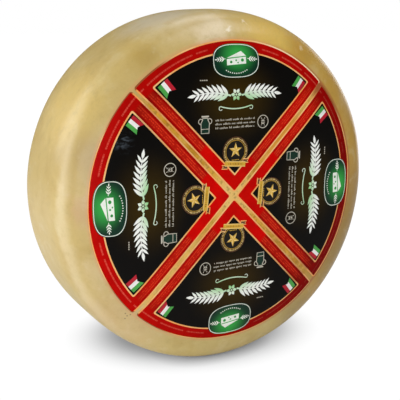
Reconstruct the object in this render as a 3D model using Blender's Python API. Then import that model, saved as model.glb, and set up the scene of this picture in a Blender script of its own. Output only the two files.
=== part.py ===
"""A whole wheel of hard cheese standing on its rim, with four quarter-round labels on one face.

Metres, +Z up. The wheel's axis runs along Y, and its labelled face looks towards -Y.
The origin is on the ground, below the middle of the wheel.
"""
import math

import bmesh
import bpy
from mathutils import Vector
from mathutils.geometry import delaunay_2d_cdt

# The wheel
DIAMETER = 0.440
THICKNESS = 0.180
FACE_RADIUS = 0.086          # the faces are flat out to here
RADIAL_POWER = 4.65          # the curve from face to rim: 2 and 2 would make it an ellipse,
AXIAL_POWER = 4.06           # and higher powers make it squarer
REST_CHORD = 0.058           # length of the flat spot that the wheel's weight has pressed

# The wheel is a little out of round: waves round the rim, height, and direction of one crest
LUMPS = ((2, 0.00051, math.radians(-58)),
         (3, 0.00028, math.radians(-6)),
         (4, 0.00025, math.radians(25)))

RIM_STEPS = 96
FACE_STEPS = 2
CURVE_STEPS = 14             # from the flat face's edge to the middle of the rim

# The labels, quarter sectors laid by hand, each round a centre of its own near the wheel's axis
LABEL_RADIUS = 0.1820        # from the centre to the curved edge
LABEL_TIP = 0.0036           # from the centre to the tip
LABEL_HALF_ANGLE = math.radians(45)
LABEL_CORNER = 0.003
LABEL_TIP_CORNER = 0.002
LABEL_THICKNESS = 0.0004
LABEL_GAP = 0.0003           # the clearance below the paper

# The direction that each label points in, and its centre's x and z from the wheel's axis
LABELS = {"label_top": (math.radians(89.5), (-0.0084, 0.0031)),
          "label_left": (math.radians(178.9), (-0.0091, 0.0032)),
          "label_bottom": (math.radians(268.8), (-0.0085, 0.0040)),
          "label_right": (math.radians(-0.2), (-0.0093, 0.0028))}

EDGE_STEP = 0.012            # spacing of the points along a label's straight edges
ARC_STEP = 0.008             # and along its curved edge
CORNER_STEPS = 3
INNER_MARGIN = 0.005         # no inner point lies nearer than this to a label's edge

RADIUS = DIAMETER / 2
AXIS_HEIGHT = math.sqrt(RADIUS ** 2 - (REST_CHORD / 2) ** 2)


def clear_scene():
    for obj in list(bpy.data.objects):
        bpy.data.objects.remove(obj)


def make_material(name, color, roughness):
    material = bpy.data.materials.new(name)
    material.use_nodes = True
    shader = material.node_tree.nodes["Principled BSDF"]
    shader.inputs["Base Color"].default_value = (*color, 1.0)
    shader.inputs["Roughness"].default_value = roughness
    shader.inputs["Metallic"].default_value = 0.0
    return material


def out_of_round(angle):
    """How much further than a true circle the rim reaches in this direction."""
    return sum(height * math.cos(waves * (angle - crest)) for waves, height, crest in LUMPS)


def stretch(angle):
    return 1 + out_of_round(angle) / RADIUS


def face_drop(radius):
    """How far the surface has fallen back from the face's plane at this radius."""
    reach = min(max((radius - FACE_RADIUS) / (RADIUS - FACE_RADIUS), 0.0), 1.0)
    return THICKNESS / 2 * (1 - (1 - reach ** RADIAL_POWER) ** (1 / AXIAL_POWER))


def ring_radii():
    """Radii of the wheel's rings, from the middle of a face to the middle of the rim."""
    flat = [FACE_RADIUS * step / FACE_STEPS for step in range(FACE_STEPS)]
    turns = [math.pi / 2 * step / CURVE_STEPS for step in range(CURVE_STEPS + 1)]
    span = RADIUS - FACE_RADIUS
    return flat + [FACE_RADIUS + span * math.sin(turn) ** (2 / RADIAL_POWER) for turn in turns]


def wheel_profile():
    """(radius, y) from the middle of the labelled face to the middle of the back."""
    front = [(radius, face_drop(radius) - THICKNESS / 2) for radius in ring_radii()]
    back = [(radius, -y) for radius, y in reversed(front[:-1])]
    return front + back


def make_wheel(material):
    mesh = bmesh.new()
    points = [mesh.verts.new((radius, y, 0.0)) for radius, y in wheel_profile()]
    edges = [mesh.edges.new(pair) for pair in zip(points, points[1:])]
    bmesh.ops.spin(mesh, geom=points + edges, cent=(0, 0, 0), axis=(0, 1, 0), dvec=(0, 0, 0),
                   angle=2 * math.pi, steps=RIM_STEPS, use_merge=True)
    bmesh.ops.remove_doubles(mesh, verts=mesh.verts[:], dist=1e-6)
    bmesh.ops.recalc_face_normals(mesh, faces=mesh.faces[:])
    for point in mesh.verts:
        scale = stretch(math.atan2(point.co.z, point.co.x))
        point.co.x *= scale
        point.co.z = max(AXIS_HEIGHT + point.co.z * scale, 0.0)
    return finish(mesh, "wheel", material, math.radians(60))


def finish(mesh, name, material, sharp_angle):
    data = bpy.data.meshes.new(name)
    mesh.to_mesh(data)
    mesh.free()
    data.materials.append(material)
    data.shade_smooth()
    data.set_sharp_from_angle(angle=sharp_angle)
    obj = bpy.data.objects.new(name, data)
    bpy.context.scene.collection.objects.link(obj)
    return obj


def arc(centre, radius, start, end, steps):
    """Points on an arc round centre, both ends included."""
    turns = [start + (end - start) * step / steps for step in range(steps + 1)]
    return [(centre[0] + radius * math.cos(turn), centre[1] + radius * math.sin(turn)) for turn in turns]


def steps_between(start, end, spacing):
    count = max(round(math.dist(start, end) / spacing), 1)
    return [(start[0] + (end[0] - start[0]) * step / count, start[1] + (end[1] - start[1]) * step / count)
            for step in range(1, count)]


def label_outline():
    """A quarter sector with rounded corners, pointing along +u, with its centre at (0, 0)."""
    half = LABEL_HALF_ANGLE
    tip_centre = (LABEL_TIP + LABEL_TIP_CORNER / math.sin(half), 0.0)
    # An outer corner's centre is its radius in from the straight edge and from the curved edge.
    reach = LABEL_RADIUS - LABEL_CORNER
    off_line = LABEL_TIP * math.sin(half) + LABEL_CORNER
    side = half - math.asin(off_line / reach)
    upper = (reach * math.cos(side), reach * math.sin(side))
    lower = (upper[0], -upper[1])
    quarter = math.pi / 2
    tip = arc(tip_centre, LABEL_TIP_CORNER, quarter + half, 3 * quarter - half, CORNER_STEPS)
    low_corner = arc(lower, LABEL_CORNER, -quarter - half, -side, CORNER_STEPS)
    high_corner = arc(upper, LABEL_CORNER, side, quarter + half, CORNER_STEPS)
    rim_steps = round(2 * side * LABEL_RADIUS / ARC_STEP)
    rim = arc((0.0, 0.0), LABEL_RADIUS, -side, side, rim_steps)[1:-1]
    low_edge = steps_between(tip[-1], low_corner[0], EDGE_STEP)
    high_edge = steps_between(high_corner[-1], tip[0], EDGE_STEP)
    return tip + low_edge + low_corner + rim + high_corner + high_edge


def inside_label(u, v, margin):
    """Whether (u, v) is inside the plain sector, and this far from each of its edges."""
    off_line = (u - LABEL_TIP) * math.sin(LABEL_HALF_ANGLE) - abs(v) * math.cos(LABEL_HALF_ANGLE)
    return off_line > margin and math.hypot(u, v) < LABEL_RADIUS - margin


def to_face(u, v, direction, centre):
    """From a label's own plane to x and z from the wheel's axis."""
    x = centre[0] + u * math.cos(direction) - v * math.sin(direction)
    z = centre[1] + u * math.sin(direction) + v * math.cos(direction)
    return x, z


def to_label(x, z, direction, centre):
    x -= centre[0]
    z -= centre[1]
    return (x * math.cos(direction) + z * math.sin(direction),
            z * math.cos(direction) - x * math.sin(direction))


def face_point(x, z):
    """The place on the labelled face that lies straight behind x and z."""
    radius = math.hypot(x, z) / stretch(math.atan2(z, x))
    return Vector((x, face_drop(radius) - THICKNESS / 2, z))


def face_normal(x, z):
    reach = 0.0005
    across = face_point(x + reach, z) - face_point(x - reach, z)
    upward = face_point(x, z + reach) - face_point(x, z - reach)
    return across.cross(upward).normalized()


def ring_points(direction, centre):
    """The wheel's own points behind a label, in the label's plane."""
    points = []
    for radius in ring_radii()[1:]:
        for step in range(RIM_STEPS):
            angle = 2 * math.pi * step / RIM_STEPS
            reach = radius * stretch(angle)
            u, v = to_label(reach * math.cos(angle), reach * math.sin(angle), direction, centre)
            if inside_label(u, v, INNER_MARGIN):
                points.append((u, v))
    return points


def make_label(name, direction, centre, material):
    outline = label_outline()
    points = [Vector(point) for point in outline + ring_points(direction, centre)]
    border = list(range(len(outline)))
    inside_only = 1
    points, _, faces, *_ = delaunay_2d_cdt(points, [], [border], inside_only, 1e-6)
    mesh = bmesh.new()
    verts = []
    for u, v in points:
        x, z = to_face(u, v, direction, centre)
        place = face_point(x, z) + face_normal(x, z) * LABEL_GAP
        verts.append(mesh.verts.new(place + Vector((0, 0, AXIS_HEIGHT))))
    for face in faces:
        mesh.faces.new([verts[index] for index in face])
    label = finish(mesh, name, material, math.radians(40))
    paper = label.modifiers.new("paper", "SOLIDIFY")
    paper.thickness = LABEL_THICKNESS
    paper.offset = 1.0
    return label


def main():
    clear_scene()
    make_wheel(make_material("rind", (0.60, 0.48, 0.28), 0.45))
    print_red = make_material("printed paper", (0.50, 0.02, 0.02), 0.35)
    for name, (direction, centre) in LABELS.items():
        make_label(name, direction, centre, print_red)


main()
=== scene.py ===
"""The looks of a whole wheel of hard cheese standing on its rim, with four printed labels on one face.

Metres, +Z up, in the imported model's frame: the wheel's axis runs along Y, and its labelled face looks
towards -Y. The print is drawn in millimetres, on a label held with its curved edge up: across runs to
the right, and out runs from the crossing of the four labels to the curved edge.
"""

import math
import random

import bpy
import numpy as np
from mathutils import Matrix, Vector, noise
from mathutils.geometry import delaunay_2d_cdt


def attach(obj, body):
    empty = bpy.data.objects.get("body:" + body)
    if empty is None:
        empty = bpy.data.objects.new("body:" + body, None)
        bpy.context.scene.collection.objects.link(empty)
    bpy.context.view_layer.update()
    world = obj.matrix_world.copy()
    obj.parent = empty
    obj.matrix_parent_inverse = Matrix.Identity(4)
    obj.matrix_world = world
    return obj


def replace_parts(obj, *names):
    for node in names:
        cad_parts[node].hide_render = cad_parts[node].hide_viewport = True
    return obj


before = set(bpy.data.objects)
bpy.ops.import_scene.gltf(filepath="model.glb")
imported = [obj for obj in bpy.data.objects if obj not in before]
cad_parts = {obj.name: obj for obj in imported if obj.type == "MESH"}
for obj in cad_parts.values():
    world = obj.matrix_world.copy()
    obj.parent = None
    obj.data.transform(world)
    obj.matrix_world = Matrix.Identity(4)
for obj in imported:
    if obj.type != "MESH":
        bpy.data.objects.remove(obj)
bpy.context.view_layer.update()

# The wheel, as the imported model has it
DIAMETER = 0.440
THICKNESS = 0.180
FACE_RADIUS = 0.086
RADIAL_POWER = 4.65
AXIAL_POWER = 4.06
REST_CHORD = 0.058
LUMPS = ((2, 0.00051, math.radians(-58)),
         (3, 0.00028, math.radians(-6)),
         (4, 0.00025, math.radians(25)))
RADIUS = DIAMETER / 2
AXIS_HEIGHT = math.sqrt(RADIUS ** 2 - (REST_CHORD / 2) ** 2)
AXIS = Vector((0.0, 0.0, AXIS_HEIGHT))

RIM_STEPS = 288              # the rind's mesh has this many points round the rim,
RING_SPACING = 0.0032        # in rings this far apart
PROFILE_STEPS = 600          # steps of the fine curve that the rings are spaced along

# How the rind rises and sinks: waves per metre, height, and where the pattern starts
SWELLS = ((8.0, 0.00045, Vector((3.1, 0.4, 7.7))),
          (30.0, 0.00012, Vector((9.3, 5.2, 1.8))))

# The labels: the direction that each points in, and its centre's x and z from the wheel's axis
LABELS = {"label_top": (math.radians(89.5), (-0.0084, 0.0031)),
          "label_left": (math.radians(178.9), (-0.0091, 0.0032)),
          "label_bottom": (math.radians(268.8), (-0.0085, 0.0040)),
          "label_right": (math.radians(-0.2), (-0.0093, 0.0028))}

# Where the gaps between the labels cross, and how far round from the axes they run
CROSSING = (-0.0088, 0.0033)
GAP_TURN = math.radians(44.3)

HALF_ANGLE = math.radians(45)  # of each label's quarter sector
PAPER_LOW = 0.00003          # the paper's underside and face, above the rind
PAPER_FACE = 0.00042
INK_STEP = 0.00006           # each layer of ink lies this much higher
PRINT_SPACING = 3.0          # millimetres between the points of large printed shapes
MILLIMETRE = 0.001

# The print, in millimetres
PAPER_TIP = 3.6              # where the paper starts at its tip, and where its curved edge lies
PAPER_REACH = 182.0
PAPER_TIP_CORNER = 4.0       # how round its corners are, at its tip and at its curved edge
PAPER_CORNER = 3.0
EDGE_LINE = 1.65             # the gold line along the paper's straight edges
BORDER_TIP = 24.5            # where the red border ends and the inner gold line starts
BORDER_REACH = 168.8
BORDER_TIP_CORNER = 1.0
BORDER_CORNER = 1.8
FIELD_TIP = 27.2             # where the dark field starts
FIELD_REACH = 167.1
FIELD_TIP_CORNER = 0.6
FIELD_CORNER = 1.2

# The gold line along each paper's curved edge, as wide as that label's cut left it
RIM_LINES = {"label_top": 1.6, "label_left": 0.9, "label_bottom": 0.9, "label_right": 1.7}

WHITE = (1.0, 1.0, 1.0, 1.0)
BLACK = (0.0, 0.0, 0.0, 1.0)

# The camera, and what it looks at, from the wheel's middle
LENS = 64.02                 # millimetres, as the sensor
SENSOR_WIDTH = 36.0
CAMERA_PLACE = Vector((-0.46195, -0.78152, 0.20072))
CAMERA_TARGET = Vector((-0.00464, -0.00301, -0.02118))

# The floor, and the soft oval shade on it
FLOOR_REACH = 30.0
FLOOR_WHITE = (0.93, 0.93, 0.93, 1.0)
SHADE_MIDDLE = Vector((0.006, 0.033, 0.0))
SHADE_TURN = math.radians(-18)
SHADE_LENGTH = 0.246         # from its middle, as its width
SHADE_WIDTH = 0.185
SHADE_CORE = 0.376           # it is full out to this share of its length and width,
SHADE_FALL = 3.35            # and fades from there by this power
SHADE_DEPTH = 0.74

WORLD_LIGHT = 0.12

# Soft boxes: degrees from the labelled face's front towards +X, degrees up, width, height and watts
BOX_DISTANCE = 1.6
SOFT_BOXES = (("front_left", -42, 5, 1.3, 0.8, 12.2),
              ("left", -106, 9, 0.45, 1.0, 5.5),
              ("back_left", -126, 22, 0.9, 0.9, 8.0),
              ("high_right", 40, 60, 0.9, 0.9, 11.0),
              ("back_right", 112, 6, 0.5, 1.0, 3.0),
              ("high_back", 138, 66, 0.6, 0.6, 3.8))


def tone(red, green, blue):
    """A colour read off a screen, 0 to 255, as the shaders' linear values."""
    def linear(value):
        value /= 255
        return value / 12.92 if value <= 0.04045 else ((value + 0.055) / 1.055) ** 2.4
    return linear(red), linear(green), linear(blue), 1.0


# Patches on the rind, among them painted shade, a painted reflection and a painted highlight: centre from the
# wheel's middle, reach, share and colour
RIND_PATCHES_AND_PAINTED_LIGHT = (
    ((-0.070, -0.020, 0.208), 0.070, 0.70, (220, 208, 180)),     # painted reflection, greyish cream, top of the rim
    ((-0.034, -0.078, 0.195), 0.036, 0.75, (230, 211, 172)),     # cream smear on top, partly a painted highlight
    ((0.050, -0.078, 0.188), 0.060, 0.80, (228, 190, 88)),       # bright gold, upper right
    ((-0.186, -0.021, 0.116), 0.070, 0.65, (232, 200, 112)),     # gold, upper left
    ((-0.116, -0.075, 0.167), 0.024, 0.60, (180, 148, 68)),      # olive, above the left label
    ((-0.045, -0.064, 0.206), 0.026, 0.50, (196, 168, 98)),      # ochre, on the upper edge
    ((-0.197, -0.078, 0.006), 0.024, 0.40, (200, 154, 120)),     # pinkish brown, left shoulder
    ((0.160, -0.080, -0.070), 0.110, 0.75, (152, 122, 52)),      # painted shade, honey brown, lower right
    ((0.095, -0.078, -0.166), 0.045, 0.45, (148, 128, 80)),      # and dimmer painted shade below it
    ((0.188, -0.075, -0.030), 0.070, 0.60, (170, 128, 38)),      # gold, right of the right label
    ((0.190, -0.070, 0.110), 0.050, 0.60, (202, 172, 120)),      # and paler above it
    ((0.096, -0.076, 0.172), 0.040, 0.65, (192, 144, 40)),       # deep gold, upper right
    ((-0.150, -0.078, -0.135), 0.080, 0.40, (216, 184, 144)),    # pinkish cream, lower left
    ((-0.174, -0.081, -0.064), 0.036, 0.45, (224, 200, 156)),    # pinker, beside the left label
    ((-0.182, -0.079, 0.062), 0.040, 0.70, (180, 152, 98)),      # painted shade, duller, above that
    ((-0.0126, -0.0795, 0.1954), 0.005, 0.80, (246, 234, 206)),  # scuffs
    ((0.0127, -0.0720, 0.2054), 0.005, 0.80, (246, 234, 206)),
    ((0.0946, -0.0777, 0.1748), 0.004, 0.45, (240, 224, 186)))

# Small pits in the rind below the left label
PITS = ((-0.1499, -0.0812, -0.1207), (-0.1477, -0.0809, -0.1241),
        (-0.1442, -0.0824, -0.1228), (-0.1496, -0.0790, -0.1278))

# A grey smear on the left label's dark field, partly a painted sheen
SMUDGE_AND_SHEEN = (-0.1500, -0.0840, 0.0780)


# The rind's surface

def stretch(angle):
    """How far the rim reaches in this direction, as a share of a true circle's radius."""
    return 1 + sum(height * math.cos(waves * (angle - crest)) for waves, height, crest in LUMPS) / RADIUS


def face_drop(radius):
    """How far the surface has fallen back from the face's plane at this radius."""
    reach = min(max((radius - FACE_RADIUS) / (RADIUS - FACE_RADIUS), 0.0), 1.0)
    return THICKNESS / 2 * (1 - (1 - reach ** RADIAL_POWER) ** (1 / AXIAL_POWER))


def face_point(x, z):
    """The place on the smooth labelled face that lies straight behind x and z, from the wheel's middle."""
    radius = math.hypot(x, z) / stretch(math.atan2(z, x))
    return Vector((x, face_drop(radius) - THICKNESS / 2, z))


def outward(place):
    """The direction straight out of the smooth wheel at a place on its surface."""
    radius = math.hypot(place.x, place.z)
    span = RADIUS - FACE_RADIUS
    reach = min(max((radius - FACE_RADIUS) / span, 0.0), 1.0)
    share = place.y / (THICKNESS / 2)
    radial = RADIAL_POWER * reach ** (RADIAL_POWER - 1) / span
    axial = AXIAL_POWER * abs(share) ** (AXIAL_POWER - 1) / (THICKNESS / 2)
    away = max(radius, 1e-9)
    return Vector((radial * place.x / away, math.copysign(axial, share),
                   radial * place.z / away)).normalized()


def swell(place):
    """How far the real rind stands above the smooth wheel at this place."""
    return sum(height * noise.noise(place * waves + start) for waves, height, start in SWELLS)


def above_rind(place, height=0.0):
    """A place on the smooth wheel moved onto the real rind, and this much higher."""
    return place + outward(place) * (swell(place) + height)


def facing(x, z):
    """The direction that the rind faces on the labelled side, swells included."""
    reach = 0.0004
    across = above_rind(face_point(x + reach, z)) - above_rind(face_point(x - reach, z))
    upward = above_rind(face_point(x, z + reach)) - above_rind(face_point(x, z - reach))
    return across.cross(upward).normalized()


def half_profile():
    """(radius, drop from the face's plane) at even steps from the face's middle to the rim's middle."""
    turns = [math.pi / 2 * step / PROFILE_STEPS for step in range(PROFILE_STEPS + 1)]
    span = RADIUS - FACE_RADIUS
    radii = [0.0] + [FACE_RADIUS + span * math.sin(turn) ** (2 / RADIAL_POWER) for turn in turns]
    line = [(radius, face_drop(radius)) for radius in radii[:-1]] + [(RADIUS, THICKNESS / 2)]
    lengths = [0.0]
    for start, end in zip(line, line[1:]):
        lengths.append(lengths[-1] + math.dist(start, end))
    count = round(lengths[-1] / RING_SPACING)
    even = [lengths[-1] * step / count for step in range(count + 1)]
    radii = np.interp(even, lengths, [radius for radius, _ in line])
    drops = np.interp(even, lengths, [drop for _, drop in line])
    return [(float(radius), float(drop)) for radius, drop in zip(radii, drops)]


# Meshes

def into_scene(name, data):
    obj = bpy.data.objects.new(name, data)
    bpy.context.scene.collection.objects.link(obj)
    return obj


def make_object(name, points, faces, finishes, indices=None):
    mesh = bpy.data.meshes.new(name)
    mesh.from_pydata(points, [], faces)
    for finish in finishes:
        mesh.materials.append(finish)
    if indices is not None:
        mesh.polygons.foreach_set("material_index", indices)
    mesh.shade_smooth()
    mesh.update()
    return into_scene(name, mesh)


def make_rind(finish):
    """The whole wheel's rind: rings from the labelled face's middle, over the rim, to the back's middle."""
    front = [(radius, drop - THICKNESS / 2) for radius, drop in half_profile()]
    rings = front + [(radius, -y) for radius, y in reversed(front[:-1])]
    angles = [2 * math.pi * step / RIM_STEPS for step in range(RIM_STEPS)]
    points = [Vector((0.0, rings[0][1], 0.0))]
    for radius, y in rings[1:-1]:
        for angle in angles:
            reach = radius * stretch(angle)
            points.append(Vector((reach * math.cos(angle), y, reach * math.sin(angle))))
    points.append(Vector((0.0, rings[-1][1], 0.0)))
    placed = []
    for point in points:
        place = AXIS + above_rind(point)
        placed.append((place.x, place.y, max(place.z, 0.0)))
    last = len(points) - 1
    faces = []
    for step in range(RIM_STEPS):
        following = (step + 1) % RIM_STEPS
        faces.append((0, 1 + step, 1 + following))
        for ring in range(len(rings) - 3):
            near = 1 + ring * RIM_STEPS
            far = near + RIM_STEPS
            faces.append((near + step, far + step, far + following, near + following))
        end = last - RIM_STEPS
        faces.append((last, end + following, end + step))
    return make_object("rind", placed, faces, [finish])


# Flat shapes of the print

def arc(centre, radius, start, end, steps):
    """Points on an arc round centre, both ends included."""
    turns = [start + (end - start) * step / steps for step in range(steps + 1)]
    return [(centre[0] + radius * math.cos(turn), centre[1] + radius * math.sin(turn)) for turn in turns]


def oval(centre, reach_across, reach_out, steps, power=2.0):
    """An ellipse, or with a higher power a squarer oval."""
    points = []
    for step in range(steps):
        turn = 2 * math.pi * step / steps
        across = math.copysign(abs(math.cos(turn)) ** (2 / power), math.cos(turn))
        out = math.copysign(abs(math.sin(turn)) ** (2 / power), math.sin(turn))
        points.append((centre[0] + reach_across * across, centre[1] + reach_out * out))
    return points


def sector(tip, reach, tip_corner, corner):
    """A quarter sector with rounded corners, its tip down and its curved edge up."""
    half = HALF_ANGLE
    quarter = math.pi / 2
    tip_centre = (tip + tip_corner / math.sin(half), 0.0)
    inner_reach = reach - corner
    side = half - math.asin((tip * math.sin(half) + corner) / inner_reach)
    upper = (inner_reach * math.cos(side), inner_reach * math.sin(side))
    lower = (upper[0], -upper[1])
    outline = arc(tip_centre, tip_corner, quarter + half, 3 * quarter - half, 4)
    outline += arc(lower, corner, -quarter - half, -side, 4)
    outline += arc((0.0, 0.0), reach, -side, side, 72)[1:-1]
    outline += arc(upper, corner, side, quarter + half, 4)
    return [(-v, u) for u, v in outline]


def heading(start, end):
    """The direction from one point to another, as a vector of length 1."""
    length = math.dist(start, end)
    return (end[0] - start[0]) / length, (end[1] - start[1]) / length


def stroke(points, width):
    """The outline of a pen stroke along a line of points. The width may change along it."""
    last = len(points) - 1
    left, right = [], []
    for index, (across, out) in enumerate(points):
        along = heading(points[max(index - 1, 0)], points[min(index + 1, last)])
        half = (width(index / last) if callable(width) else width) / 2
        left.append((across - along[1] * half, out + along[0] * half))
        right.append((across + along[1] * half, out - along[0] * half))
    return left + right[::-1]


def round_stroke(points, width):
    """A closed line of this width, as an outline and the hole in it."""
    count = len(points)
    outer, inner = [], []
    for index, (across, out) in enumerate(points):
        along = heading(points[index - 1], points[(index + 1) % count])
        outer.append((across + along[1] * width / 2, out - along[0] * width / 2))
        inner.append((across - along[1] * width / 2, out + along[0] * width / 2))
    return outer, [inner]


def moved(points, centre):
    """A shape drawn round (0, 0), moved to its centre."""
    return [(centre[0] + across, centre[1] + out) for across, out in points]


def turned(points, centre, degrees):
    """A shape drawn round (0, 0), turned and moved to its centre."""
    cosine = math.cos(math.radians(degrees))
    sine = math.sin(math.radians(degrees))
    return [(centre[0] + across * cosine - out * sine, centre[1] + across * sine + out * cosine)
            for across, out in points]


def leaf(base, degrees, length, width):
    """A pointed leaf that grows from its base in this direction."""
    side = []
    for step in range(1, 8):
        share = step / 8
        side.append((length * share, width / 2 * math.sin(math.pi * share ** 0.8)))
    outline = [(0.0, 0.0), *side, (length, 0.0), *[(along, -half) for along, half in reversed(side)]]
    return turned(outline[::-1], base, degrees)


def sprig(root, degrees, length, pairs, leaf_length, bend=0.0):
    """A stem with pairs of leaves and one at its end: a list of outlines. Bend lifts the stem's middle."""
    stem = [(length * step / 16, bend * math.sin(math.pi * step / 16)) for step in range(17)]
    shapes = [stroke(stem, lambda share: leaf_length * (0.13 - 0.08 * share))]
    for pair in range(pairs):
        share = (pair + 0.6) / (pairs + 0.3)
        base = (length * share, bend * math.sin(math.pi * share))
        size = leaf_length * (1 - 0.35 * share)
        rise = math.degrees(math.atan2(bend * math.pi * math.cos(math.pi * share), length))
        shapes += [leaf(base, rise + side * 38, size, size * 0.27) for side in (-1, 1)]
    shapes.append(leaf(stem[-1], math.degrees(math.atan2(-bend * math.pi, length)), leaf_length * 0.7,
                       leaf_length * 0.24))
    return [turned(shape, root, degrees) for shape in shapes]


def mirrored(shape):
    return [(-across, out) for across, out in reversed(shape)]


def box(centre, width, height, degrees=0.0):
    across, out = width / 2, height / 2
    return turned([(-across, -out), (across, -out), (across, out), (-across, out)], centre, degrees)


# Laying flat shapes on the rind

def refine(loop):
    """The loop with points added along its long sides."""
    points = []
    for start, end in zip(loop, loop[1:] + loop[:1]):
        count = max(math.ceil(math.dist(start, end) / PRINT_SPACING), 1)
        points += [(start[0] + (end[0] - start[0]) * step / count,
                    start[1] + (end[1] - start[1]) * step / count) for step in range(count)]
    return points


def lattice(loops):
    """Even points over a shape, none close to its edges."""
    corners = np.array([point for loop in loops for point in loop])
    low, high = corners.min(0), corners.max(0)
    if min(high - low) < 2 * PRINT_SPACING:
        return []
    grid = np.stack(np.meshgrid(*(np.arange(low[axis], high[axis], PRINT_SPACING) for axis in (0, 1))), -1)
    grid = grid.reshape(-1, 2)
    nearest = np.full(len(grid), np.inf)
    for loop in loops:
        for start, end in zip(loop, loop[1:] + loop[:1]):
            start, side = np.array(start), np.array(end) - np.array(start)
            share = np.clip((grid - start) @ side / max(side @ side, 1e-12), 0, 1)
            nearest = np.minimum(nearest, np.linalg.norm(grid - start - share[:, None] * side, axis=1))
    return [tuple(point) for point in grid[nearest > PRINT_SPACING * 0.5]]


def counter_clockwise(loop):
    """The loop in the direction that the filling needs."""
    doubled_area = sum(start[0] * end[1] - end[0] * start[1] for start, end in zip(loop, loop[1:] + loop[:1]))
    return loop if doubled_area > 0 else loop[::-1]


def fill(outline, holes):
    """Points and triangles that fill an outline round its holes."""
    loops = [refine(counter_clockwise(loop)) for loop in (outline, *holes)]
    points = [point for loop in loops for point in loop]
    borders = []
    for loop in loops:
        start = borders[-1][-1] + 1 if borders else 0
        borders.append(list(range(start, start + len(loop))))
    points += lattice(loops)
    inside_borders = 1
    points, _, faces, _, _, sources = delaunay_2d_cdt([Vector(point) for point in points], [], borders,
                                                      inside_borders, 1e-5)
    faces = [face for face, source in zip(faces, sources) if list(source) == [0]]
    return [tuple(point) for point in points], faces


class Sheet:
    """One thin piece of paper or print on one label, gathered shape by shape."""

    def __init__(self, label, part):
        self.name = f"{label}_{part}"
        self.direction, self.centre = LABELS[label]
        self.finishes = []
        self.points, self.drawn, self.faces, self.indices, self.normals = [], [], [], [], []

    def place(self, across, out):
        """From the label's drawing to x and z from the wheel's middle."""
        cosine, sine = math.cos(self.direction), math.sin(self.direction)
        x = self.centre[0] + (out * cosine + across * sine) * MILLIMETRE
        z = self.centre[1] + (out * sine - across * cosine) * MILLIMETRE
        return x, z

    def add(self, finish, outline, holes=(), low=PAPER_FACE - INK_STEP / 2, high=PAPER_FACE + INK_STEP):
        """A closed thin shape between two heights above the rind."""
        if finish not in self.finishes:
            self.finishes.append(finish)
        index = self.finishes.index(finish)
        flat, faces = fill(outline, holes)
        first = len(self.points)
        under = first + len(flat)
        places = [self.place(across, out) for across, out in flat]
        for height in (high, low):
            self.points += [AXIS + above_rind(face_point(x, z), height) for x, z in places]
            self.drawn += [(across, out, 0.0) for across, out in flat]
        tops = [facing(x, z) for x, z in places]
        edges = []
        for face in faces:
            face = list(face)
            corners = [flat[corner] for corner in face]
            if corners != counter_clockwise(corners):
                face.reverse()
            back = face[::-1]
            self.put([first + corner for corner in face], index, [tops[corner] for corner in face])
            self.put([under + corner for corner in back], index, [-tops[corner] for corner in back])
            edges += zip(face, face[1:] + face[:1])
        shared = {(end, start) for start, end in edges}
        for start, end in edges:
            if (start, end) not in shared:
                wall = [first + end, first + start, under + start, under + end]
                along = self.points[wall[0]] - self.points[wall[1]]
                normal = along.cross(tops[start]).normalized()
                self.put(wall, index, [normal] * 4)

    def put(self, face, index, normals):
        self.faces.append(face)
        self.indices.append(index)
        self.normals += normals

    def build(self):
        piece = make_object(self.name, self.points, self.faces, self.finishes, self.indices)
        drawn = piece.data.attributes.new("drawn", "FLOAT_VECTOR", "POINT")
        drawn.data.foreach_set("vector", [value for point in self.drawn for value in point])
        piece.data.normals_split_custom_set(self.normals)
        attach(piece, "root")
        return piece


# Finishes

class Wire:
    """One socket among a material's nodes, on which Python's arithmetic works."""

    def __init__(self, nodes, socket):
        self.nodes = nodes
        self.socket = socket

    def math(self, operation, *others):
        return self.nodes.add("ShaderNodeMath", {"operation": operation}, dict(enumerate((self, *others))))

    def __add__(self, other):
        return self.math("ADD", other)

    def __mul__(self, other):
        return self.math("MULTIPLY", other)

    def __sub__(self, other):
        return self.math("SUBTRACT", other)

    def __rsub__(self, other):
        return self.nodes.add("ShaderNodeMath", {"operation": "SUBTRACT"}, {0: other, 1: self})

    def __truediv__(self, other):
        return self.math("DIVIDE", other)

    def __pow__(self, other):
        return self.math("POWER", other)

    __radd__ = __add__
    __rmul__ = __mul__

    def rise(self, low, high):
        """0 up to low and 1 from high, with a smooth rise between. With high under low it falls."""
        return self.nodes.add("ShaderNodeMapRange", {"interpolation_type": "SMOOTHSTEP"},
                              {"Value": self, "From Min": low, "From Max": high})


class Nodes:
    """A node tree and the one way in which nodes come into it."""

    def __init__(self, tree):
        self.tree = tree

    def add(self, kind, settings, sockets, output=0):
        node = self.tree.nodes.new(kind)
        for name, value in settings.items():
            setattr(node, name, value)
        for name, value in sockets.items():
            self.feed(node.inputs[name], value)
        return Wire(self, node.outputs[output])

    def feed(self, socket, value):
        if isinstance(value, Wire):
            self.tree.links.new(value.socket, socket)
        else:
            socket.default_value = value


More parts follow.
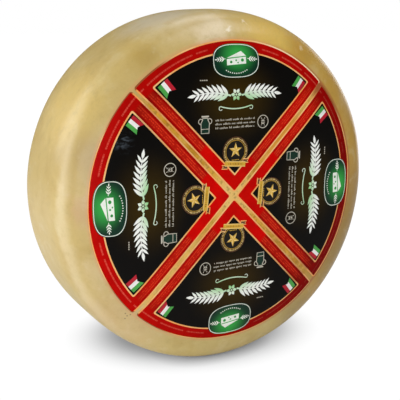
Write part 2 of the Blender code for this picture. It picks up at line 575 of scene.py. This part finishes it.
class Finish(Nodes):
    """A material with a Principled shader."""

    def __init__(self, name, **values):
        self.material = bpy.data.materials.new(name)
        self.material.use_nodes = True
        super().__init__(self.material.node_tree)
        self.shader = self.tree.nodes["Principled BSDF"]
        self.set(**values)

    def set(self, **values):
        """Values or wires for the shader's sockets, with _ for each space in a socket's name."""
        for name, value in values.items():
            self.feed(self.shader.inputs[name.replace("_", " ")], value)

    def place(self):
        """The place on the object, in metres."""
        return self.add("ShaderNodeTexCoord", {}, {}, "Object")

    def drawn(self):
        """The place in the label's drawing, in millimetres."""
        return self.add("ShaderNodeAttribute", {"attribute_name": "drawn"}, {}, "Vector")

    def split(self, vector):
        parts = self.add("ShaderNodeSeparateXYZ", {}, {0: vector})
        return [Wire(self, socket) for socket in parts.socket.node.outputs]

    def vector_math(self, operation, first, second, output="Vector"):
        return self.add("ShaderNodeVectorMath", {"operation": operation}, {0: first, 1: second}, output)

    def shifted(self, vector, shift=(0, 0, 0), scale=(1, 1, 1)):
        return self.vector_math("MULTIPLY", self.vector_math("ADD", vector, shift), scale)

    def from_middle(self):
        """The place from the wheel's middle, as x, y and z."""
        return self.split(self.shifted(self.place(), -AXIS))

    def distance(self, place, centre):
        """How far a place is from a centre that is given from the wheel's middle."""
        return self.vector_math("DISTANCE", place, AXIS + Vector(centre), "Value")

    def noise(self, vector, scale, detail=2.0, roughness=0.5, distortion=0.0):
        return self.add("ShaderNodeTexNoise", {}, {"Vector": vector, "Scale": scale, "Detail": detail,
                                                   "Roughness": roughness, "Distortion": distortion})

    def mix(self, share, first, second):
        """The first colour where share is 0 and the second where it is 1."""
        return self.add("ShaderNodeMix", {"data_type": "RGBA"}, {0: share, 6: first, 7: second}, 2)

    def bump(self, height, distance, strength):
        sockets = {"Height": height, "Distance": distance, "Strength": strength}
        self.set(Normal=self.add("ShaderNodeBump", {}, sockets))

    def paper_grain(self, strength=0.4):
        """The fine uneven face of printed paper."""
        self.bump(self.noise(self.place(), 700.0, 2.0), 0.00008, strength)


def hypotenuse(first, second):
    return (first * first + second * second).math("SQRT")


def from_edge(across, out):
    """How far inside the paper's nearer straight edge a place in the drawing is, in millimetres."""
    return (out - PAPER_TIP) * math.sin(HALF_ANGLE) - across.math("ABSOLUTE") * math.cos(HALF_ANGLE)


def lower_right(x, z):
    """1 on the right and bottom labels, and 0 on the top and left ones."""
    return (x - z).rise(-0.014, -0.010)


def rind_finish():
    """Straw rind under a satin film: cream towards the left, golden towards the right, softly clouded."""
    finish = Finish("sealed rind", Coat_Weight=0.45, Coat_Roughness=0.25, Specular_IOR_Level=0.35,
                    Subsurface_Weight=0.08, Subsurface_Radius=(0.012, 0.007, 0.003), Subsurface_Scale=1.0)
    place = finish.place()
    cloud = finish.noise(place, 26.0, 4.0, 0.55, 0.4)
    mottle = finish.noise(finish.shifted(place, (0.3, 0.1, 0.7)), 70.0, 6.0, 0.65)
    speck = finish.noise(place, 420.0, 2.0)
    colour = rind_ground(finish, place, cloud)
    wobble = (mottle - 0.5) * 0.03
    # Patches of colour, among them painted shade, a painted reflection and a painted highlight
    for centre, reach, share, patch_tone in RIND_PATCHES_AND_PAINTED_LIGHT:
        away = finish.distance(place, centre) + wobble
        colour = finish.mix(away.rise(reach, reach * 0.2) * share, colour, tone(*patch_tone))
    for centre in PITS:
        pit = finish.distance(place, centre).rise(0.0014, 0.0004)
        colour = finish.mix(pit * 0.6, colour, tone(96, 66, 44))
    colour = finish.mix(mottle.rise(0.50, 0.75) * 0.22, colour, tone(168, 138, 72))
    colour = finish.mix(mottle.rise(0.46, 0.25) * 0.22, colour, tone(226, 212, 170))
    colour = finish.mix(speck.rise(0.5, 0.8) * 0.10, colour, tone(150, 124, 74))
    colour = between_labels(finish, place, cloud, mottle, colour)
    finish.set(Base_Color=colour, Roughness=0.44 + cloud * 0.12)
    finish.bump(cloud * 0.7 + mottle * 0.3 + speck * 0.12, 0.0006, 0.5)
    return finish.material


def rind_ground(finish, place, cloud):
    """The rind's main colours, and a painted highlight: a cream line along its shoulder on the left."""
    broad = finish.noise(place, 7.0, 2.0)
    x, y, z = finish.from_middle()
    drift = x + (broad - 0.5) * 0.2
    colour = finish.mix(drift.rise(-0.14, 0.06), tone(204, 178, 110), tone(204, 173, 90))
    colour = finish.mix(drift.rise(0.06, 0.17), colour, tone(196, 154, 64))
    lower = (z + broad * 0.05).rise(-0.02, -0.14)
    colour = finish.mix(lower * x.rise(0.14, 0.04), colour, tone(204, 182, 114))
    colour = finish.mix(cloud.rise(0.50, 0.70) * 0.35, colour, tone(184, 152, 76))
    colour = finish.mix(cloud.rise(0.46, 0.30) * 0.35, colour, tone(216, 199, 150))
    # A painted highlight: a cream band along the left shoulder
    painted_highlight = (y + 0.059 + (cloud - 0.5) * 0.02).math("ABSOLUTE").rise(0.013, 0.002)
    painted_highlight = painted_highlight * x.rise(-0.14, -0.18) * z.rise(0.11, 0.0)
    return finish.mix(painted_highlight * 0.45, colour, tone(234, 217, 176))


def between_labels(finish, place, cloud, mottle, colour):
    """Deeper gold where the rind shows between the labels, and a shaded line along their curved edges."""
    shift = Vector((-CROSSING[0], 0.0, -AXIS_HEIGHT - CROSSING[1]))
    x, y, z = finish.split(finish.shifted(place, shift))
    labelled_side = y.rise(-0.05, -0.06)
    from_crossing = hypotenuse(x, z)
    gold = finish.mix(cloud.rise(0.40, 0.60), tone(226, 168, 48), tone(196, 138, 10))
    gold = finish.mix(mottle.rise(0.45, 0.70) * 0.6, gold, tone(240, 198, 108))
    gold = finish.mix(from_crossing.rise(0.045, 0.01), gold, tone(242, 198, 112))
    cosine, sine = math.cos(GAP_TURN), math.sin(GAP_TURN)
    along = (x * cosine + z * sine).math("ABSOLUTE")
    beside = (z * cosine - x * sine).math("ABSOLUTE")
    off_gap = along.math("MINIMUM", beside)
    blotch = finish.noise(finish.shifted(place, (0.5, 0.0, 0.2)), 150.0, 3.0, 0.6)
    gold = finish.mix(blotch.rise(0.50, 0.64) * off_gap.rise(0.0026, 0.0012) * 0.6, gold, tone(150, 106, 22))
    gold = finish.mix((x * z).rise(0.0005, 0.003) * 0.4, gold, tone(250, 208, 122))
    gold = finish.mix((x + z).rise(0.05, 0.12) * (x + z).rise(0.19, 0.16) * 0.75, gold, tone(222, 144, 12))
    colour = finish.mix(labelled_side * from_crossing.rise(0.186, 0.150), colour, gold)
    shaded_end = from_crossing.rise(0.150, 0.174) * from_crossing.rise(0.184, 0.180)
    shaded_end = labelled_side * shaded_end * off_gap.rise(0.006, 0.003) * (x + z).rise(0.18, 0.21)
    colour = finish.mix(shaded_end * 0.85, colour, tone(156, 66, 26))
    rim_shade = (from_crossing - 0.1825).math("ABSOLUTE").rise(0.0036, 0.0008) * labelled_side
    colour = finish.mix(rim_shade * 0.25, colour, tone(232, 150, 104))
    return finish.mix(rim_shade * x.rise(0.02, 0.14) * 0.6, colour, tone(160, 84, 24))


def ink(name, colour, roughness=0.42, metallic=0.0):
    """A printed colour on slightly uneven paper."""
    finish = Finish(name, Specular_IOR_Level=0.22, Roughness=roughness, Metallic=metallic)
    mottle = finish.noise(finish.place(), 90.0, 3.0)
    finish.set(Base_Color=finish.mix(mottle.rise(0.35, 0.75) * 0.12, colour, BLACK))
    finish.paper_grain()
    return finish.material


def print_painted_shade(finish, from_centre):
    """How much painted shade darkens the print where the wheel curves away and at the labels' tips, and along
    their sides.

    Both are shares that change with the direction: least at the upper and lower left, most at the right.
    """
    x, _, z = finish.from_middle()
    upper_right = x.rise(0.0, 0.04) * z.rise(0.0, 0.04) * (lower_right(x, z) * 0.2 - 0.1)
    rim = from_centre.rise(140.0, 172.0) * (x * 1.35 - z * 0.38 - x * z * 5.7 + 0.54 + upper_right)
    tip = from_centre.rise(66.0, 46.0) * x.rise(-0.035, -0.01) * 0.16
    side = 0.68 - z * 0.94 - x * z * 21.0
    return rim + tip, side


def gold_print():
    """The paper's lines of cream and orange, not metal, with painted shade and highlight. The outermost fades
    towards most corners: part wear, part painted shade.
    """
    finish = Finish("gold print", Roughness=0.38, Specular_IOR_Level=0.2)
    across, out, _ = finish.split(finish.drawn())
    from_centre = hypotenuse(across, out)
    wave = finish.noise(finish.place(), 34.0, 2.0)
    colour = finish.mix(wave.rise(0.35, 0.65), tone(255, 172, 90), tone(255, 204, 134))
    # Painted shade where the wheel curves away, at the labels' tips and along the arms
    rim, side = print_painted_shade(finish, from_centre)
    painted_shade_tone = tone(150, 84, 60)
    colour = finish.mix(rim * 0.25, colour, painted_shade_tone)
    along_arms = from_centre.rise(30.0, 90.0) * from_centre.rise(165.0, 160.0)
    colour = finish.mix((side - 0.5) * along_arms, colour, painted_shade_tone)
    x, _, z = finish.from_middle()
    lower = lower_right(x, z)
    outermost = from_centre.rise(178.0, 180.0)
    # A painted highlight: the outermost line paler on the upper right
    colour = finish.mix(outermost * x.rise(0.0, 0.06) * (1.0 - lower), colour, tone(255, 226, 180))
    shaded_end = from_edge(across, out).rise(3.0, 2.0) * from_centre.rise(158.0, 174.0)
    shaded_end = shaded_end * (1.0 - outermost) * (x + z).rise(0.18, 0.21)
    colour = finish.mix(shaded_end * 0.8, colour, tone(150, 64, 36))
    # Painted shade with wear: the outermost line goes dark red near most corners
    faded_corners = x.rise(0.04, 0.0).math("MAXIMUM", lower * z.rise(0.0, 0.02))
    worn_and_shaded = outermost * across.math("ABSOLUTE").rise(70.0, 104.0) * faded_corners
    finish.set(Base_Color=finish.mix(worn_and_shaded * 0.8, colour, tone(120, 20, 12)))
    return finish.material


def border_print():
    """The red border, with rows of small lighter dashes along its sides and its curved edge, and painted
    shade on its arms and rim.
    """
    finish = Finish("red border print", Roughness=0.40, Specular_IOR_Level=0.03)
    across, out, _ = finish.split(finish.drawn())
    sideways = across.math("ABSOLUTE")
    inset = from_edge(across, out)
    along_edge = out * math.cos(HALF_ANGLE) + sideways * math.sin(HALF_ANGLE)
    from_centre = hypotenuse(across, out)
    along_rim = across.math("ARCTAN2", out) * 175.0
    left_arm = across.math("LESS_THAN", 0.0)
    arm = (along_edge - left_arm * 26.0).rise(46.0, 50.0) * from_centre.rise(168.0, 163.0)
    side_rows = dashes(finish, inset - 4.4, along_edge, 2.6)
    dashed = arm * inset.rise(3.8, 4.6) * inset.rise(12.8, 12.0)
    rim_row = dashes(finish, from_centre - 172.4, along_rim, 3.4)
    rim_row = rim_row * (from_centre - 174.1).math("ABSOLUTE").rise(1.7, 1.4) * sideways.rise(36.0, 38.0)
    rim, side = print_painted_shade(finish, from_centre)
    mottle = finish.noise(finish.place(), 60.0, 3.0)
    red = finish.mix(mottle.rise(0.35, 0.7), tone(220, 8, 3), tone(206, 5, 3))
    # Painted shade along the arms
    red = finish.mix(arm * side, red, tone(140, 6, 3))
    red = finish.mix(dashed * (side_rows * 0.50 + 0.16), red, tone(246, 66, 36))
    red = finish.mix(rim_row * 0.85, red, tone(255, 96, 78))
    # Painted shade where the wheel curves away
    finish.set(Base_Color=finish.mix(rim, red, tone(96, 8, 4)))
    finish.paper_grain(0.3)
    return finish.material


def dashes(finish, across_rows, along_rows, spacing):
    """Rows of short strokes of uneven length, with gaps between groups."""
    row = across_rows / spacing
    ridge = (row.math("FRACT") - 0.5).math("ABSOLUTE").rise(0.32, 0.20)
    where = finish.add("ShaderNodeCombineXYZ", {}, {0: along_rows, 1: row.math("FLOOR") * 7.3})
    strokes = finish.noise(finish.shifted(where, scale=(1.1, 1.0, 1.0)), 1.0, 0.0)
    groups = finish.noise(finish.shifted(where, scale=(0.10, 1.0, 1.0)), 1.0, 0.0)
    return ridge * strokes.rise(0.36, 0.50) * groups.rise(0.33, 0.38)


def field_print():
    """The dark field, near black with a brown glow round its middle, and a grey smear, partly a painted
    sheen, on the left label.
    """
    finish = Finish("dark field print", Roughness=0.36, Specular_IOR_Level=0.08)
    across, out, _ = finish.split(finish.drawn())
    glow = hypotenuse(across / 56.0, (out - 113.0) / 46.0).rise(1.25, 0.0)
    colour = finish.mix(glow, tone(11, 9, 7), tone(56, 41, 4))
    place = finish.place()
    streaks = finish.noise(finish.shifted(place, scale=(1.0, 1.0, 2.2)), 110.0, 4.0, 0.6, 0.6)
    # A grey smear, partly a painted sheen
    smudge_and_sheen = finish.distance(place, SMUDGE_AND_SHEEN).rise(0.016, 0.003) * streaks.rise(0.44, 0.66)
    finish.set(Base_Color=finish.mix(smudge_and_sheen * 0.7, colour, tone(84, 92, 100)))
    finish.paper_grain()
    return finish.material


def glowing_ink(name, centre, reaches, inner, outer):
    """An ink that runs from one colour at a centre in the drawing to another further out."""
    finish = Finish(name, Roughness=0.38, Specular_IOR_Level=0.2)
    across, out, _ = finish.split(finish.drawn())
    far = hypotenuse((across - centre[0]) / reaches[0], (out - centre[1]) / reaches[1])
    finish.set(Base_Color=finish.mix(far.rise(0.0, 1.0), inner, outer))
    return finish.material


INKS = {
    "gold": gold_print(),
    "red": border_print(),
    "dark": field_print(),
    "badge green": glowing_ink("badge green print", (2.0, 164.0), (31.0, 25.0),
                               tone(54, 176, 72), tone(8, 48, 32)),
    "pale": ink("pale print", tone(246, 252, 240)),
    "sprig": glowing_ink("sprig print", (6.0, 112.0), (58.0, 18.0),
                         tone(150, 214, 138), tone(248, 250, 244)),
    "small print": ink("small print", tone(206, 200, 184)),
    "churn green": ink("churn print", tone(14, 48, 34)),
    "flag green": ink("pennant green print", tone(78, 168, 76)),
    "flag white": ink("pennant white print", tone(246, 244, 240)),
    "flag red": ink("pennant red print", tone(190, 30, 48)),
    "bronze": ink("bronze print", tone(112, 74, 48), 0.35, 0.2),
    "ring brown": ink("ring brown print", tone(56, 36, 18), 0.4),
    "ochre": ink("ochre print", tone(158, 108, 40)),
    "light gold": ink("light gold print", tone(250, 216, 136), 0.32, 0.1),
    "deep gold": ink("deep gold print", tone(226, 178, 60), 0.32, 0.1),
    "black": ink("black print", tone(18, 12, 8)),
}


# The print's motifs. Each gives (ink, layer, outline, holes) for its shapes.

def badge():
    """A green oval with a pale line round it, a wedge of cheese between two sprigs, and a row of dots."""
    centre = (0.3, 158.0)
    shapes = [("badge green", 2, oval(centre, 31.6, 19.4, 72, 2.7), [])]
    shapes.append(("pale", 3, oval(centre, 30.8, 18.6, 72, 2.7), [oval(centre, 30.05, 17.85, 72, 2.7)]))
    middle = (centre[0], centre[1] + 3.0)
    top = moved([(-13.0, 0.4), (13.0, 2.6), (6.4, 8.0)], middle)
    side = moved([(-13.0, -7.8), (13.0, -6.2), (13.0, 1.5), (-13.0, -0.8)], middle)
    holes = []
    for across, out, reach in ((-7.4, -4.2, 1.7), (-0.6, -2.4, 1.2), (1.9, -5.0, 1.0), (8.0, -2.2, 2.1)):
        holes.append(oval((middle[0] + across, middle[1] + out), reach, reach * 0.9, 16))
    shapes += [("pale", 3, top, []), ("pale", 3, side, holes)]
    for shape in sprig((15.2, 160.4), -4.0, 10.5, 3, 5.4):
        shapes.append(("pale", 3, shape, []))
        shapes.append(("pale", 3, moved(mirrored(shape), (2 * centre[0], 0.0)), []))
    for step in range(-5, 6):
        turn = math.radians(270 + 6.5 * step)
        spot = (centre[0] + 26.0 * math.cos(turn), centre[1] + 8.5 + 22.5 * math.sin(turn))
        shapes.append(("pale", 3, oval(spot, 0.75, 0.75, 8), []))
    return shapes


def laurel():
    """Two long sprigs that grow apart from a small flower, with a thin curled line below."""
    shapes = []
    for side in (-1, 1):
        for shape in sprig((7.5, 119.0), 2.0, 46.0, 7, 16.0, 3.0):
            shapes.append(shape if side > 0 else mirrored(shape))
    for petal in range(6):
        shapes.append(leaf(turned([(1.9, 0.0)], (0.0, 120.0), petal * 60)[0], petal * 60, 5.6, 4.0))
    shapes.append(oval((0.0, 120.0), 1.3, 1.3, 12))
    bow = [(21.0 * math.sin(math.pi / 2 * step / 12), 105.4 - 1.6 * math.cos(math.pi * step / 12))
           for step in range(13)]
    curl = arc((bow[-1][0], bow[-1][1] - 2.2), 2.2, math.radians(90), math.radians(-150), 10)
    whole = mirrored(curl[1:]) + mirrored(bow[1:]) + bow + curl[1:]
    shapes.append(stroke(whole, lambda share: 0.7 + 0.7 * math.sin(math.pi * share) ** 2))
    return [("sprig", 2, shape, []) for shape in shapes]


def churn(centre):
    """A milk churn drawn in line, with a dark green body."""
    body = moved([(-5.0, -10.0), (5.0, -10.0), (5.6, 1.6), (3.4, 5.4),
                  (3.4, 7.4), (-3.4, 7.4), (-3.4, 5.4), (-5.6, 1.6)], centre)
    lip = moved([(-4.8, 8.4), (4.8, 8.4), (4.8, 10.0), (-4.8, 10.0)], centre)
    line, hole = round_stroke(body, 0.9)
    shapes = [("churn green", 2, body, []), ("small print", 3, line, hole), ("small print", 3, lip, [])]
    for side in (-1, 1):
        grip = [(side * across, out) for across, out in
                arc((5.8, 3.6), 3.0, math.radians(130), math.radians(-95), 9)]
        shapes.append(("small print", 3, stroke(moved(grip, centre), 0.9), []))
    shapes.append(("small print", 3, box((centre[0], centre[1] - 5.2), 9.6, 0.7), []))
    return shapes


def round_mark(centre):
    """A ring round two crossed ears of grain."""
    ring, hole = round_stroke(oval(centre, 7.5, 7.5, 36), 0.9)
    shapes = [("small print", 2, ring, hole)]
    for degrees in (60.0, 120.0):
        root = turned([(-5.6, 0.0)], centre, degrees)[0]
        shapes += [("small print", 2, shape, []) for shape in sprig(root, degrees, 9.0, 2, 3.6)]
    return shapes


def tick_rows():
    """Three rows of small upright ticks in groups, between the churn and the round mark."""
    draw = random.Random(8)
    shapes = []
    for out in (91.6, 87.0, 82.4):
        across = -27.4
        while across < 26.6:
            for _ in range(draw.randint(3, 8)):
                if across > 27.0:
                    break
                height = draw.choice((1.5, 1.5, 2.3))
                shapes.append(("small print", 2, box((across, out + height / 2 - 1.1), 0.75, height), []))
                across += draw.choice((1.25, 1.4, 1.6))
            across += 1.5
    return shapes


def small_print():
    shapes = churn((-41.6, 87.5)) + round_mark((38.5, 86.6)) + tick_rows()
    for step in range(4):
        shapes.append(("small print", 2, box((-47.5 + 2.6 * step, 137.2), 1.7, 1.1), []))
    return shapes


def pennants():
    """Two small three-striped pennants with forked ends, in the upper corners of the field."""
    shapes = []
    edge_length, middle_length = 15.8, 11.6
    stripes = {"flag green": (0, 1 / 3), "flag white": (1 / 3, 1 / 2, 2 / 3), "flag red": (2 / 3, 1)}
    for start, end in (((-100.0, 131.0), (-88.5, 140.5)), ((90.5, 139.0), (101.0, 130.0))):
        width = math.dist(start, end)
        along = heading(start, end)
        for colour, shares in stripes.items():
            ends, hoist = [], []
            for share in shares:
                length = edge_length - (edge_length - middle_length) * (1 - abs(2 * share - 1))
                across, out = start[0] + along[0] * width * share, start[1] + along[1] * width * share
                hoist.append((across, out))
                ends.append((across + along[1] * length, out - along[0] * length))
            shapes.append((colour, 2, ends + hoist[::-1], []))
    return shapes


def seal():
    """A gold seal: a beaded ring, a black disc with a faceted star, and a ribbon across its foot."""
    centre = (0.3, 53.4)
    teeth = 88
    edge = []
    for step in range(teeth * 2):
        turn = math.pi * step / teeth
        reach = 17.8 if step % 2 else 17.2
        edge.append((centre[0] + reach * math.cos(turn), centre[1] + reach * math.sin(turn)))
    shapes = [("bronze", 2, edge, [])]
    shapes.append(("ring brown", 3, oval(centre, 16.9, 16.9, 60), []))
    shapes.append(("black", 4, oval(centre, 13.4, 13.4, 48), []))
    shapes.append(("deep gold", 5, oval(centre, 13.6, 13.6, 48), [oval(centre, 13.1, 13.1, 48)]))
    draw = random.Random(5)
    degrees = 0.0
    while degrees < 360.0:
        mark = turned([(15.3, 0.0)], centre, degrees)[0]
        shapes.append(("light gold", 4, box(mark, draw.choice((1.3, 2.0, 2.2)), 0.75, degrees), []))
        degrees += draw.choice((5.0, 6.0, 7.5))
    heart = (centre[0], centre[1] + 1.4)
    outer, inner = 9.2, 3.7
    for arm in range(5):
        point = turned([(outer, 0.0)], heart, 90 + 72 * arm)[0]
        for side, colour in ((-36, "light gold"), (36, "deep gold")):
            corner = turned([(inner, 0.0)], heart, 90 + 72 * arm + side)[0]
            facet = [heart, corner, point] if side < 0 else [heart, point, corner]
            shapes.append((colour, 6, facet, []))
    for step in range(-2, 3):
        shapes.append(("deep gold", 6, box((centre[0] + 2.2 * step, centre[1] - 10.0), 1.3, 1.0), []))
    shapes += ribbon()
    return shapes


def ribbon():
    """A short gold ribbon, a little tilted, with a folded tail at each end."""
    tilt = -5.0
    middle = (0.2, 38.6)
    band = [(-14.2, -3.2), (14.2, -3.2), (14.2, 3.2), (-14.2, 3.2)]
    tails = ([(-18.4, -6.2), (-10.4, -6.2), (-10.4, -2.0), (-18.4, -2.0), (-16.4, -4.1)],
             [(10.4, 2.0), (18.4, 2.0), (16.4, 4.1), (18.4, 6.2), (10.4, 6.2)])
    shapes = []
    for tail in tails:
        line, hole = round_stroke(turned(counter_clockwise(tail), middle, tilt), 1.2)
        shapes.append(("bronze", 6, turned(tail, middle, tilt), []))
        shapes.append(("gold", 7, line, hole))
    shapes.append(("deep gold", 8, turned(band, middle, tilt), []))
    for side in (-1, 1):
        edge = turned([(0.0, 2.6 * side)], middle, tilt)[0]
        shapes.append(("light gold", 9, box(edge, 28.0, 0.9, tilt), []))
    for step, height in zip(range(-4, 5), (1.2, 2.0, 1.2, 1.2, 2.0, 1.2, 2.0, 1.2, 1.2)):
        spot = turned([(2.3 * step, 0.0)], middle, tilt)[0]
        shapes.append(("ochre", 9, box(spot, 1.1, height, tilt), []))
    return shapes


MOTIFS = {"badge": badge, "laurel": laurel, "small_print": small_print, "pennants": pennants, "seal": seal}


def make_label(name):
    """One label: the paper with its gold edge, the red border, the dark field and the motifs."""
    paper = Sheet(name, "paper")
    paper.add(INKS["gold"], sector(PAPER_TIP, PAPER_REACH, PAPER_TIP_CORNER, PAPER_CORNER),
              low=PAPER_LOW, high=PAPER_FACE)
    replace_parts(paper.build(), name)
    border = Sheet(name, "border")
    edge_tip = PAPER_TIP + EDGE_LINE / math.sin(HALF_ANGLE)
    border.add(INKS["red"], sector(edge_tip, PAPER_REACH - RIM_LINES[name], PAPER_TIP_CORNER - EDGE_LINE,
                                   PAPER_CORNER - EDGE_LINE),
               [sector(BORDER_TIP, BORDER_REACH, BORDER_TIP_CORNER, BORDER_CORNER)])
    border.build()
    field = Sheet(name, "field")
    field.add(INKS["dark"], sector(FIELD_TIP, FIELD_REACH, FIELD_TIP_CORNER, FIELD_CORNER))
    field.build()
    for motif, draw in MOTIFS.items():
        sheet = Sheet(name, motif)
        for colour, layer, outline, holes in draw():
            sheet.add(INKS[colour], outline, holes, high=PAPER_FACE + layer * INK_STEP)
        sheet.build()


# Light, floor and camera

def aim(obj, place, target):
    obj.location = place
    obj.rotation_euler = (target - place).to_track_quat("-Z", "Y").to_euler()


def make_camera():
    """The photograph's view: a little above the axis, and from the left of the labelled face."""
    data = bpy.data.cameras.new("camera")
    data.lens = LENS
    data.sensor_width = SENSOR_WIDTH
    camera = into_scene("camera", data)
    aim(camera, AXIS + CAMERA_PLACE, AXIS + CAMERA_TARGET)
    bpy.context.scene.camera = camera


def make_area_light(name, place, width, height, power):
    data = bpy.data.lights.new(name, "AREA")
    data.shape = "RECTANGLE"
    data.size = width
    data.size_y = height
    data.energy = power
    light = into_scene(name, data)
    light.visible_camera = False
    aim(light, place, AXIS)


def make_world(strength):
    """White for the camera, and a dimmer even light on everything."""
    world = bpy.data.worlds.new("studio")
    world.use_nodes = True
    bpy.context.scene.world = world
    nodes = Nodes(world.node_tree)
    seen = nodes.add("ShaderNodeBackground", {}, {"Color": WHITE, "Strength": 1.0})
    light = nodes.add("ShaderNodeBackground", {}, {"Color": WHITE, "Strength": strength})
    direct = nodes.add("ShaderNodeLightPath", {}, {}, "Is Camera Ray")
    both = nodes.add("ShaderNodeMixShader", {}, {0: direct, 1: light, 2: seen})
    nodes.feed(world.node_tree.nodes["World Output"].inputs["Surface"], both)


def make_floor():
    """A pale floor. It shows white, but for a soft shade close to the wheel, and lights the wheel dimly."""
    reach = FLOOR_REACH
    corners = [(-reach, -reach, 0.0), (reach, -reach, 0.0), (reach, reach, 0.0), (-reach, reach, 0.0)]
    finish = Finish("floor", Roughness=0.9, Specular_IOR_Level=0.0, Emission_Strength=1.03)
    x, y, _ = finish.split(finish.shifted(finish.place(), -SHADE_MIDDLE))
    cosine, sine = math.cos(SHADE_TURN), math.sin(SHADE_TURN)
    from_shade = hypotenuse((x * cosine + y * sine) / SHADE_LENGTH, (y * cosine - x * sine) / SHADE_WIDTH)
    shade = from_shade.rise(1.0, SHADE_CORE) ** SHADE_FALL
    openness = finish.add("ShaderNodeAmbientOcclusion", {"samples": 12}, {"Distance": 0.015}, "AO")
    direct = finish.add("ShaderNodeLightPath", {}, {}, "Is Camera Ray")
    bright = (openness ** 0.2) * (1.0 - shade * SHADE_DEPTH)
    finish.set(Base_Color=finish.mix(direct, FLOOR_WHITE, BLACK))
    finish.set(Emission_Color=finish.mix(bright * direct, BLACK, WHITE))
    make_object("floor", corners, [(0, 1, 2, 3)], [finish.material])


def make_light():
    """Soft boxes round the wheel: most of the light comes low from the left, some high from the right."""
    make_world(WORLD_LIGHT)
    for name, azimuth, elevation, width, height, power in SOFT_BOXES:
        turn, rise = math.radians(azimuth), math.radians(elevation)
        away = Vector((math.sin(turn) * math.cos(rise), -math.cos(turn) * math.cos(rise), math.sin(rise)))
        make_area_light(name, AXIS + away * BOX_DISTANCE, width, height, power)


def main():
    bpy.context.scene.view_settings.view_transform = "Standard"
    make_camera()
    make_light()
    make_floor()
    rind = make_rind(rind_finish())
    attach(rind, "root")
    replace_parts(rind, "wheel")
    for name in LABELS:
        make_label(name)


main()
